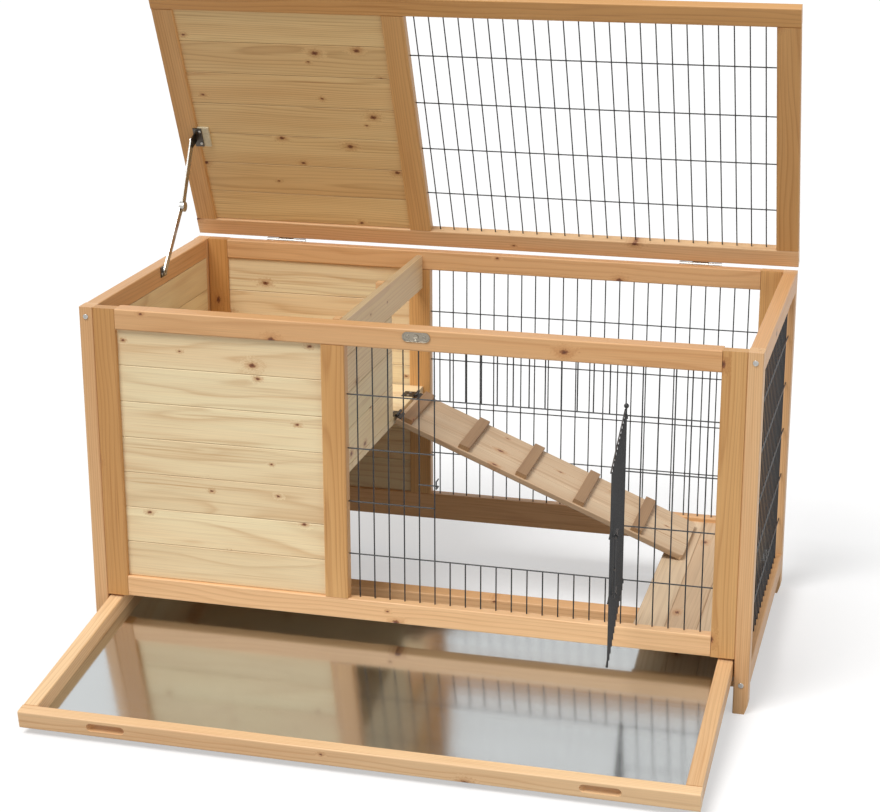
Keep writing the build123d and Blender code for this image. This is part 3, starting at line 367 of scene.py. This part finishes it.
# %% Boards
BOARD_ROWS = {
    "front_boards": (ALONG_X, Vector((0, 0, 0)), (0.130, 0.435 / 7)),
    "rear_boards": (ALONG_X, Vector((0, 0, 0)), (0.130, 0.435 / 7)),
    "side_boards_left": (ALONG_Y, Vector((0, 0, 0)), (0.077, 0.488 / 8)),
    "divider_boards": (ALONG_Y, Vector((0, 0, 0)), (0.342, 0.250 / 4)),
    "upper_floor_boards": (along((1, 0, 0), (0, 1, 0)), Vector((0, 0, 0)), (-0.252, 0.504 / 8)),
    "platform_boards": (along((0, 1, 0), (1, 0, 0)), Vector((0, 0, 0)),
                        (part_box("platform_boards")[0][0], 0.0515)),
    "lid_boards": (along((1, 0, 0), (0, 1, 0), LID_TURN), LID_HINGE,
                   (-0.206 - LID_HINGE.y, 0.443 / 7)),
    "ramp_boards": (along((1, 0, 0), (0, 1, 0), RAMP_TURN), RAMP_HINGE, (0.053, 0.055)),
}
for name, (axes, place, rows) in BOARD_ROWS.items():
    wear(nodes[name], fir("pale_fir_" + name, axes, place, seed=seed, rows=rows,
                          knot_share=BOARD_KNOTS, **BOARD_COLOURS.get(name, PALE)))
    seed += NEXT_ROW
wear(nodes["ramp_cleats"], fir("pale_fir_cleats", along((0, 1, 0), (1, 0, 0), RAMP_TURN), RAMP_HINGE,
                               seed=seed, knot_share=CLEAT_KNOTS, **CLEATS))
print("rows of boards", len(BOARD_ROWS))

# %% [markdown]
# The wire is welded steel dipped in black paint, so it is dark, a little shiny and slightly
# uneven. The paint is what shows, so the finish isn't a metal.

# %% Black painted wire


def painted(name, colour, rough, grit_mm, depth_mm):
    """Paint, or another plain surface, with a fine orange-peel grain."""
    finish, tree, surface = new_finish(name)
    where = add(tree, "TexCoord")
    grit = add(tree, "TexNoise", {"Vector": where.outputs["Object"], "Scale": 1000 / grit_mm, "Detail": 2.0})
    tint = add(tree, "MapRange", {0: grit.outputs[0], 3: 0.75, 4: 1.25})
    toned = add(tree, "HueSaturation", {"Color": shade(colour), "Value": tint.outputs[0]})
    tree.links.new(toned.outputs[0], surface.inputs["Base Color"])
    peel = add(tree, "MapRange", {0: grit.outputs[0], 3: rough - 0.08, 4: rough + 0.08})
    tree.links.new(peel.outputs[0], surface.inputs["Roughness"])
    bump = add(tree, "Bump", {"Strength": 0.3, "Distance": depth_mm / 1000, "Height": grit.outputs[0]})
    tree.links.new(bump.outputs[0], surface.inputs["Normal"])
    return finish


black_wire = painted("black_painted_wire", "#1B1C1E", 0.38, 3.0, 0.05)
black_hinge = painted("black_painted_hinge", "#1A1716", 0.42, 2.0, 0.03)
WIRE_NODES = ("side_mesh_right", "front_mesh", "rear_mesh", "lid_mesh", "door_leaf", "door_catch",
              "door_hinge_eyes", "door_latch")
for name in WIRE_NODES:
    wear(nodes[name], black_wire)
print("pieces of black wire", len(WIRE_NODES))

# %% [markdown]
# The fittings are pressed steel with a zinc coat: bright on the stay's bars, the lid's hinges and
# the screws, darker on the stay's brackets. Pressing and handling leave fine scratches, so the
# roughness follows stretched noise. The ramp's hinges are painted black, and the tray's rollers
# are moulded nylon, which is pale and dull.

# %% Zinc-coated steel


def plated(name, colour, rough, scratch_mm, stretch):
    """A metal with scratches that run along one way. The colour is the metal's own."""
    finish, tree, surface = new_finish(name)
    surface.inputs["Metallic"].default_value = 1.0
    where = add(tree, "TexCoord")
    pulled = add(tree, "VectorMath", {0: where.outputs["Object"], 1: stretch}, operation="MULTIPLY")
    marks = add(tree, "TexNoise", {"Vector": pulled.outputs[0], "Scale": 1000 / scratch_mm, "Detail": 3.0})
    blotch = add(tree, "TexNoise", {"Vector": where.outputs["Object"], "Scale": 60.0, "Detail": 2.0})
    tint = add(tree, "MapRange", {0: blotch.outputs[0], 3: 0.82, 4: 1.12})
    toned = add(tree, "HueSaturation", {"Color": shade(colour), "Value": tint.outputs[0]})
    tree.links.new(toned.outputs[0], surface.inputs["Base Color"])
    dull = add(tree, "MapRange", {0: marks.outputs[0], 3: rough * 0.7, 4: rough * 1.4})
    tree.links.new(dull.outputs[0], surface.inputs["Roughness"])
    bump = add(tree, "Bump", {"Strength": 0.15, "Distance": 0.00005, "Height": marks.outputs[0]})
    tree.links.new(bump.outputs[0], surface.inputs["Normal"])
    return finish


zinc = plated("zinc_coated_steel", "#B9B7B2", 0.28, 2.0, (1.0, 0.3, 0.3))
zinc_dark = plated("dark_zinc_steel", "#5B5650", 0.35, 2.0, (1.0, 1.0, 1.0))
nickel = plated("nickel_plated_steel", "#9A9284", 0.22, 2.0, (0.3, 1.0, 1.0))
nylon = painted("moulded_nylon", "#DAD8CE", 0.5, 4.0, 0.02)
FITTINGS = {
    "stay_bar_lower": zinc, "stay_bar_upper": zinc,
    "lid_hinge_frame_leaf": zinc, "lid_hinge_lid_leaf": zinc,
    "stay_foot_bracket": zinc_dark, "stay_head_bracket": zinc_dark,
    "ramp_hinge_floor_leaf": black_hinge, "ramp_hinge_ramp_leaf": black_hinge,
    "tray_rollers": nylon,
}
for name, finish in FITTINGS.items():
    wear(nodes[name], finish)
print("fittings", len(FITTINGS))

# %% [markdown]
# Modelling starts from a primitive and shapes it in edit mode. Everything is deselected first,
# because an operator acts on all that is selected, and faces are picked by where they lie.

# %% Helpers for modelling


def pick_faces(piece, test):
    """Selects the faces whose centre and normal pass the test, and stays in edit mode."""
    bpy.ops.object.mode_set(mode="EDIT")
    bpy.ops.mesh.select_mode(type="FACE")
    bpy.ops.mesh.select_all(action="DESELECT")
    bpy.ops.object.mode_set(mode="OBJECT")
    for face in piece.data.polygons:
        face.select = bool(test(face.center, face.normal))
    bpy.ops.object.mode_set(mode="EDIT")


def fresh():
    """Ends edit mode and deselects all."""
    if bpy.context.mode != "OBJECT":
        bpy.ops.object.mode_set(mode="OBJECT")
    bpy.ops.object.select_all(action="DESELECT")


def settle(piece, name):
    """Puts a finished piece's place into its mesh, with its object at the origin."""
    fresh()
    piece.select_set(True)
    bpy.context.view_layer.objects.active = piece
    bpy.ops.object.transform_apply(location=True, rotation=True, scale=True)
    piece.name = name
    piece.data.name = name
    return piece


def merge(pieces, name):
    """Joins finished pieces into one."""
    fresh()
    for piece in pieces:
        piece.select_set(True)
    bpy.context.view_layer.objects.active = pieces[0]
    bpy.ops.object.join()
    return settle(pieces[0], name)


# %% [markdown]
# A screw head seen on the cage is a shallow dome with a cross recess. It is turned from a
# cylinder whose rim is bevelled, and the cross is cut by two crossed blocks. It is modelled once,
# standing on the floor of the scene, and copied to each place with its own mesh.

# %% Screw heads


def screw_head(radius, height):
    """A pattern for a screw head that stands on the floor of the scene at the origin."""
    fresh()
    bpy.ops.mesh.primitive_cylinder_add(vertices=32, radius=radius, depth=height,
                                        location=(0, 0, height / 2))
    head = bpy.context.active_object
    pick_faces(head, lambda c, n: n.z > 0.9)
    bpy.ops.mesh.bevel(offset=height * 0.6, segments=3, affect="EDGES")
    fresh()
    cutters = []
    for quarter in (0, pi / 2):
        bpy.ops.mesh.primitive_cube_add(size=1, location=(0, 0, height), rotation=(0, 0, quarter),
                                        scale=(radius * 1.05, radius * 0.26, height * 0.9))
        cutters.append(bpy.context.active_object)
        fresh()
    for cutter in cutters:
        cut = head.modifiers.new("cross", "BOOLEAN")
        cut.operation, cut.object, cut.solver = "DIFFERENCE", cutter, "EXACT"
        head.select_set(True)
        bpy.context.view_layer.objects.active = head
        bpy.ops.object.modifier_apply(modifier=cut.name)
        fresh()
    for cutter in cutters:
        bpy.data.objects.remove(cutter)
    head.select_set(True)
    bpy.context.view_layer.objects.active = head
    bpy.ops.object.shade_smooth_by_angle(angle=radians(30))
    return settle(head, "screw_pattern")


def placed(pattern, spots):
    """Copies a pattern to each spot, a place and an outward direction, each with its own mesh."""
    copies = []
    for place, outward in spots:
        copy = pattern.copy()
        copy.data = pattern.data.copy()
        bpy.context.scene.collection.objects.link(copy)
        turn = Vector((0, 0, 1)).rotation_difference(Vector(outward)).to_matrix().to_4x4()
        copy.matrix_world = Matrix.Translation(Vector(place)) @ turn
        copies.append(copy)
    return copies


LEG_X, FACE_Y, SCREW_Z = 0.548, 0.272, (0.050, 0.584)
frame_screw = screw_head(0.0045, 0.0016)
FRAME_SCREW_SPOTS = [((x, y, z), (0, -1 if y < 0 else 1, 0))
                     for x in (-LEG_X, LEG_X) for y in (-FACE_Y, FACE_Y) for z in SCREW_Z]
heads = merge(placed(frame_screw, FRAME_SCREW_SPOTS), "frame_screw_heads")
wear(heads, zinc)
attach(heads, "cabinet")
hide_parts("frame_screws")
print("screw heads", len(FRAME_SCREW_SPOTS), "faces", len(heads.data.polygons))

# %% [markdown]
# The leaves and brackets are held by small bright screws. Those on the lid are set out as if it
# were shut, then turned with it about its hinge. The stay's top bracket sits on a pale packing
# piece that fills the recess beside the lid's stile.

# %% Small screws and the packing piece


def on_lid(point, outward):
    """A place and a direction on the shut lid, as they are with the lid open."""
    return LID_HINGE + LID_TURN @ (Vector(point) - LID_HINGE), LID_TURN @ Vector(outward)


def screws(name, body, spots, pattern):
    """One piece of screw heads, copied from the pattern to the spots."""
    piece = merge(placed(pattern, spots), name)
    wear(piece, zinc)
    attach(piece, body)


small_screw = screw_head(0.0026, 0.0010)
HINGE_X, HINGE_STEP, LEAF_Y = 0.388, 0.026, 0.2735
HINGE_BACKS = [(side * HINGE_X + step, LEAF_Y)
               for side in (-1, 1) for step in (-HINGE_STEP, 0.0, HINGE_STEP)]
FRAME_LEAF_Z, LID_LEAF_Z = 0.583, 0.6105
RAMP_LEAF_X, RAMP_LEAF_Z = -0.129, 0.3432
RAMP_ROWS = [y + step for y in (0.075, 0.196) for step in (-0.009, 0.009)]
FOOT_PLACE = (-0.534, 0.0232, 0.5860)
HEAD_PLACE = Vector((-0.5165, 0.0548, 0.5983))
HEAD_STEPS = [Vector((0, step, 0)) for step in (-0.0125, 0.0125)]
SMALL_SCREWS = {
    "lid_hinge_frame_screws": ("cabinet", [((x, y, FRAME_LEAF_Z), (0, 1, 0)) for x, y in HINGE_BACKS]),
    "lid_hinge_lid_screws": ("lid", [on_lid((x, y, LID_LEAF_Z), (0, 1, 0)) for x, y in HINGE_BACKS]),
    "ramp_hinge_screws": ("cabinet", [((RAMP_LEAF_X, y, RAMP_LEAF_Z), (0, 0, 1)) for y in RAMP_ROWS]),
    "stay_head_screws": ("lid", [on_lid(HEAD_PLACE + step, (0, 0, -1)) for step in HEAD_STEPS]),
    "stay_foot_screw": ("cabinet", [(FOOT_PLACE, (1, 0, 0))]),
}
for name, (body, spots) in SMALL_SCREWS.items():
    screws(name, body, spots, small_screw)
bpy.data.objects.remove(small_screw)

PAD_X, PAD_LENGTH = (-0.5208, -0.4998), 0.040
PAD_Z = (0.6003, 0.6048)
fresh()
bpy.ops.mesh.primitive_cube_add(size=1, location=(sum(PAD_X) / 2, HEAD_PLACE.y, sum(PAD_Z) / 2),
                                scale=(PAD_X[1] - PAD_X[0], PAD_LENGTH, PAD_Z[1] - PAD_Z[0]))
pad = bpy.context.active_object
pick_faces(pad, lambda c, n: n.z < -0.9)
bpy.ops.mesh.bevel(offset=0.0008, segments=2, affect="EDGES")
pad = settle(pad, "stay_packing_piece")
to_hinge = Matrix.Translation(LID_HINGE)
pad.data.transform(to_hinge @ LID_TURN.to_4x4() @ to_hinge.inverted())
wear(pad, painted("pale_packing_piece", "#CFC3A4", 0.5, 4.0, 0.02))
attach(pad, "lid")
print("small screws in", len(SMALL_SCREWS), "groups")

# %% [markdown]
# The small plate on the front rail is pressed from sheet, with round ends, a raised rim, two
# screws and a round turn-piece in its middle. A cylinder is pulled apart into the oval shape,
# and its face is inset and pushed in to leave the rim.

# %% Oval plate on the front rail
PLATE_X, PLATE_Z, PLATE_FACE = 0.0154, 0.588, -0.272
PLATE_HALF, PLATE_END, PLATE_THICK, PLATE_SCREW_X = 0.015, 0.008, 0.002, 0.0138
fresh()
bpy.ops.mesh.primitive_cylinder_add(vertices=48, radius=PLATE_END, depth=PLATE_THICK,
                                    location=(0, 0, PLATE_THICK / 2))
plate = bpy.context.active_object
for vertex in plate.data.vertices:
    vertex.co.x += PLATE_HALF if vertex.co.x > 0 else -PLATE_HALF
pick_faces(plate, lambda c, n: n.z > 0.9)
bpy.ops.mesh.bevel(offset=0.0006, segments=2, affect="EDGES")
pick_faces(plate, lambda c, n: n.z > 0.99 and c.z > 0.0009)
bpy.ops.mesh.inset(thickness=0.0012, depth=0)
bpy.ops.mesh.inset(thickness=0.0004, depth=-0.0006)
fresh()
plate_screw = screw_head(0.0030, 0.0012)
plate_bits = placed(plate_screw, [((x, 0, 0.0012), (0, 0, 1)) for x in (-PLATE_SCREW_X, PLATE_SCREW_X)])
fresh()
bpy.ops.mesh.primitive_cylinder_add(vertices=32, radius=0.0045, depth=0.0022, location=(0, 0, 0.0020))
turn_piece = bpy.context.active_object
pick_faces(turn_piece, lambda c, n: n.z > 0.9)
bpy.ops.mesh.inset(thickness=0.0012, depth=0.0006)
bpy.ops.mesh.bevel(offset=0.0003, segments=2, affect="EDGES")
fresh()
bpy.ops.mesh.primitive_cube_add(size=1, location=(0, 0, 0.0034), scale=(0.0060, 0.0016, 0.0012))
grip = bpy.context.active_object
pick_faces(grip, lambda c, n: n.z > 0.9)
bpy.ops.mesh.bevel(offset=0.0004, segments=2, affect="EDGES")
plate = merge([plate, turn_piece, grip, *plate_bits], "oval_plate")
upright = Matrix.Rotation(radians(90), 4, "X")
plate.data.transform(Matrix.Translation((PLATE_X, PLATE_FACE, PLATE_Z)) @ upright)
wear(plate, nickel)
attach(plate, "cabinet")
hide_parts("latch_plate")
for pattern in (frame_screw, plate_screw):
    bpy.data.objects.remove(pattern)
print("oval plate faces", len(plate.data.polygons))

# %% [markdown]
# The tray's floor is thin galvanised sheet, bright enough to mirror the cage but never quite
# flat. Its mesh is flat, and a shallow bump with broad waves bends what it mirrors a little. The
# finish is a metal with low roughness and long faint marks from the rolling mill.

# %% Galvanised sheet of the tray
# how often the mill marks change, per metre along the rolling and across it
MILL_MARKS = (1.5, 60.0, 60.0)
rolled, tree, surface = new_finish("galvanised_sheet")
surface.inputs["Metallic"].default_value = 1.0
where = add(tree, "TexCoord")
pulled = add(tree, "VectorMath", {0: where.outputs["Object"], 1: MILL_MARKS}, operation="MULTIPLY")
mill = add(tree, "TexNoise", {"Vector": pulled.outputs[0], "Scale": 2.0, "Detail": 4.0})
cloud = add(tree, "TexNoise", {"Vector": where.outputs["Object"], "Scale": 5.0, "Detail": 3.0})
tint = add(tree, "MapRange", {0: cloud.outputs[0], 3: 0.92, 4: 1.04})
toned = add(tree, "HueSaturation", {"Color": shade("#CDD0D0"), "Value": tint.outputs[0]})
tree.links.new(toned.outputs[0], surface.inputs["Base Color"])
dull = add(tree, "MapRange", {0: mill.outputs[0], 3: 0.07, 4: 0.17})
tree.links.new(dull.outputs[0], surface.inputs["Roughness"])
bump = add(tree, "Bump", {"Strength": 0.2, "Distance": 0.0002, "Height": cloud.outputs[0]})
tree.links.new(bump.outputs[0], surface.inputs["Normal"])
wear(nodes["tray_sheet"], rolled)
print("sheet finish", rolled.name)

# %% [markdown]
# A studio with a white floor and soft light: a broad sun high in front and a little to the left,
# a weak lamp at the right, and an even white surround. The camera and shiny metal see the floor
# and the surround as nearly white, and part of the floor's own shading is kept, so the cage still
# stands on its shadow. All other light sees a greyer floor and a dimmer surround.

# %% Studio
FLOOR_GREY, FLOOR_GLOW, SURROUND = "#A6A6A6", 0.45, 0.42
CAGE_MIDDLE, LAMP_AWAY = Vector((0, 0, 0.4)), 4.0
floor_finish, tree, surface = new_finish("studio_floor")
surface.inputs["Roughness"].default_value = 0.9
surface.inputs["Specular IOR Level"].default_value = 0.0
rays = add(tree, "LightPath")
seen = add(tree, "Math", {0: rays.outputs["Is Camera Ray"], 1: rays.outputs["Is Glossy Ray"]},
           operation="MAXIMUM")
paper = add(tree, "Mix", {"Factor": seen.outputs[0], 6: shade(FLOOR_GREY), 7: shade("#FFFFFF")},
            data_type="RGBA")
tree.links.new(paper.outputs[2], surface.inputs["Base Color"])
share = add(tree, "Math", {0: seen.outputs[0], 1: FLOOR_GLOW}, operation="MULTIPLY")
glow = add(tree, "Emission", {"Color": (1, 1, 1, 1), "Strength": 1.0})
blend = add(tree, "MixShader", {0: share.outputs[0], 1: surface.outputs[0], 2: glow.outputs[0]})
output = next(n for n in tree.nodes if n.type == "OUTPUT_MATERIAL")
tree.links.new(blend.outputs[0], output.inputs["Surface"])
fresh()
bpy.ops.mesh.primitive_plane_add(size=24, location=(0, 0, 0))
floor = bpy.context.active_object
floor.name = "studio_floor"
wear(floor, floor_finish)
floor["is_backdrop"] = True

world = bpy.data.worlds.new("studio")
bpy.context.scene.world = world
world.use_nodes = True
tree = world.node_tree
tree.nodes.clear()
rays = add(tree, "LightPath")
seen = add(tree, "Math", {0: rays.outputs["Is Camera Ray"], 1: rays.outputs["Is Glossy Ray"]},
           operation="MAXIMUM")
level_now = add(tree, "MapRange", {0: seen.outputs[0], 3: SURROUND, 4: 1.0})
sky = add(tree, "Background", {"Color": (1, 1, 1, 1), "Strength": level_now.outputs[0]})
add(tree, "OutputWorld", {"Surface": sky.outputs[0]})


def lamp(name, kind, toward, **settings):
    """A lamp that shines from the given direction at the middle of the cage."""
    light = bpy.data.lights.new(name, kind)
    for key, value in settings.items():
        setattr(light, key, value)
    made = bpy.data.objects.new(name, light)
    bpy.context.scene.collection.objects.link(made)
    away = Vector(toward).normalized()
    made.location = CAGE_MIDDLE + LAMP_AWAY * away
    made.rotation_euler = (-away).to_track_quat("-Z", "Y").to_euler()


lamp("key", "SUN", (-0.25, -0.45, 0.86), energy=2.45, angle=radians(28))
lamp("fill", "AREA", (0.85, -0.5, 0.25), energy=24, shape="DISK", size=2.4)
bpy.context.scene.view_settings.view_transform = "Standard"
print("lamps", len(bpy.data.lights), "floor", floor.name)

# %% Finish
low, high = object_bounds()
print("visual box", tuple(low), tuple(high))
